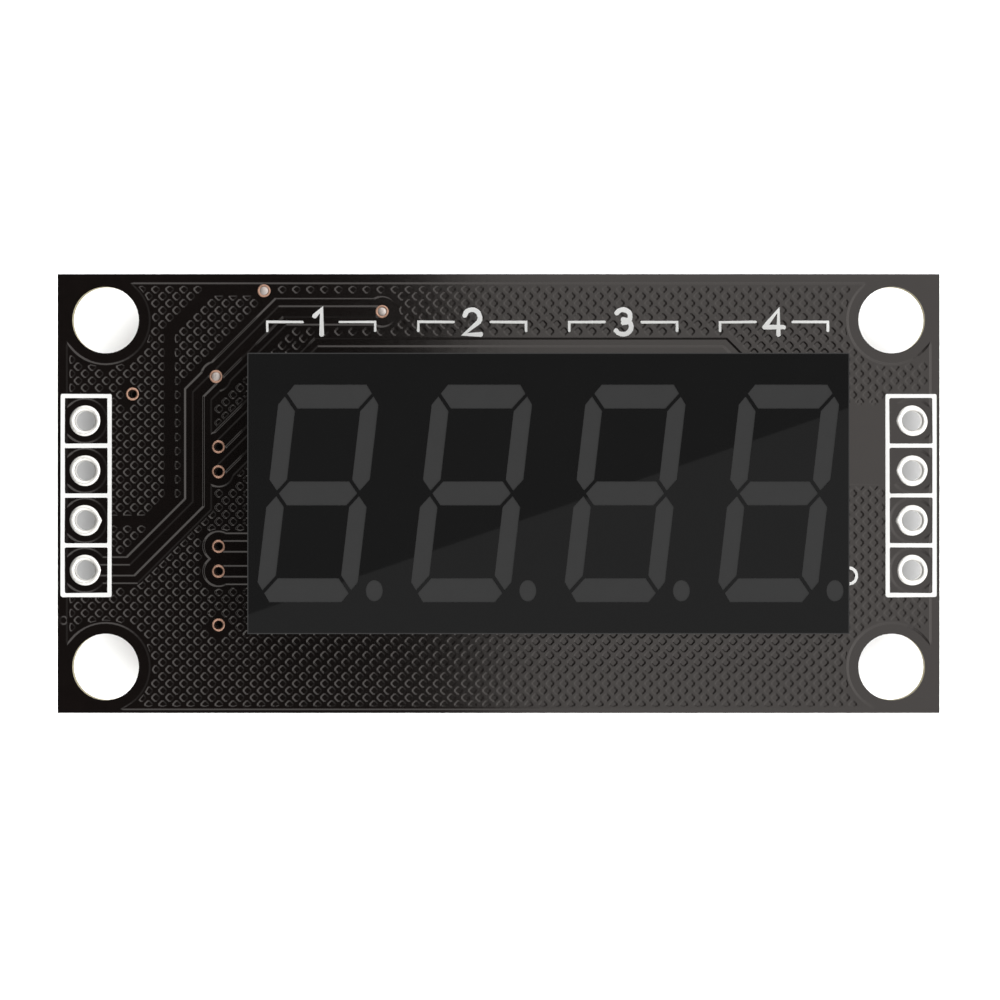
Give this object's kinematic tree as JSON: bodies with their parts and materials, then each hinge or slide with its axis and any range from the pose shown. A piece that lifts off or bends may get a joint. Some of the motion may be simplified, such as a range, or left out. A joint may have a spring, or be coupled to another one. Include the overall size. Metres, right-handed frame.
{
  "type": "four-digit seven segment display module",
  "caption": "Seven segment digit display with decimal points, soldered to a black carrier board with corner mounting holes and plated header holes at both ends.",
  "frame": {"origin": "under the middle of the board, level with the lowest part on its back", "axes": "+X along the board from the left header to the right one, +Y up the digits, +Z out of the display's face"},
  "size_m": [0.045, 0.0224, 0.0113],
  "materials": {
    "black_lacquered_laminate": "glass-fibre board under glossy black solder lacquer, pale at its drilled holes",
    "lacquered_copper": "copper under glossy black solder lacquer",
    "white_print": "white printed ink",
    "tinned_pad": "tinned copper",
    "via_copper": "plated copper rings",
    "filled_via": "solder-filled plated holes",
    "solder": "bright solder",
    "black_face_plastic": "black moulded plastic with a smooth printed face",
    "grey_window_resin": "grey tinted casting resin",
    "diode_board": "bare glass-fibre board",
    "diode": "light diode chips",
    "gold_wire": "fine gold wire",
    "potting_resin": "poured resin",
    "pin_metal": "tinned wire pins",
    "moulded_black": "moulded black epoxy with fine texture",
    "lead_metal": "tin-plated leads",
    "white_ceramic": "alumina",
    "black_coat": "black glass coat",
    "brown_ceramic": "barium titanate ceramic",
    "chip_end_metal": "tinned chip ends"
  },
  "bodies": {
    "root": {"laminate_board": "black_lacquered_laminate", "front_copper": "lacquered_copper", "back_copper": "lacquered_copper", "front_print": "white_print", "back_print": "white_print", "header_pads": "tinned_pad", "open_vias": "via_copper", "filled_vias": "filled_via", "display_pads": "via_copper", "display_housing": "black_face_plastic", "segment_windows": "grey_window_resin", "diode_board": "diode_board", "light_diodes": "diode", "bond_wires": "gold_wire", "display_potting": "potting_resin", "display_pins": "pin_metal", "pin_solder": "solder", "driver_body": "moulded_black", "driver_leads": "lead_metal", "driver_solder": "solder", "resistor_bodies": "white_ceramic", "resistor_coats": "black_coat", "resistor_ends": "chip_end_metal", "capacitor_bodies": "brown_ceramic", "capacitor_ends": "chip_end_metal", "chip_solder": "solder"}
  },
  "joints": []
}
